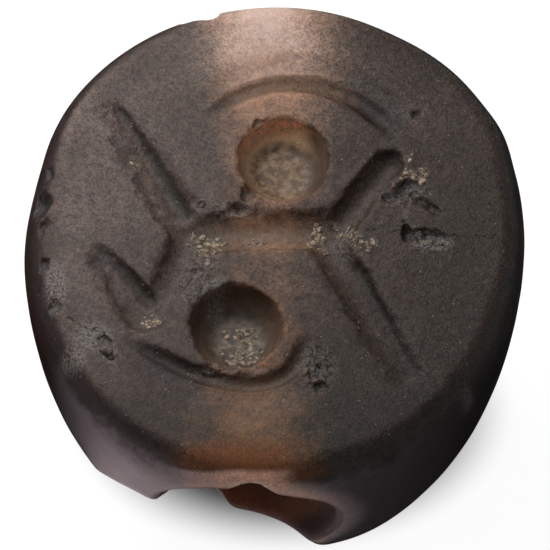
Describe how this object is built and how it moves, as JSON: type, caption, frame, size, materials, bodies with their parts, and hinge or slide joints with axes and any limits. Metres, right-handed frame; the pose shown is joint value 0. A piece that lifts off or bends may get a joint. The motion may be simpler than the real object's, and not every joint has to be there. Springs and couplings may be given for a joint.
{
  "type": "stamp seal",
  "caption": "Dome-shaped stone stamp seal, pierced lengthways, with an abstract drilled and wheel-cut figure on its flat face.",
  "frame": {"origin": "under the middle of the outline, at the height of the worn flat on the back that the seal lies on", "axes": "+Z out of the engraved face, +Y along the bore, +X across it"},
  "size_m": [0.0216, 0.0234, 0.0174],
  "materials": {
    "stone": "satin, worn, slightly translucent dark agate"
  },
  "bodies": {
    "root": {"seal_stone": "stone"}
  },
  "joints": []
}
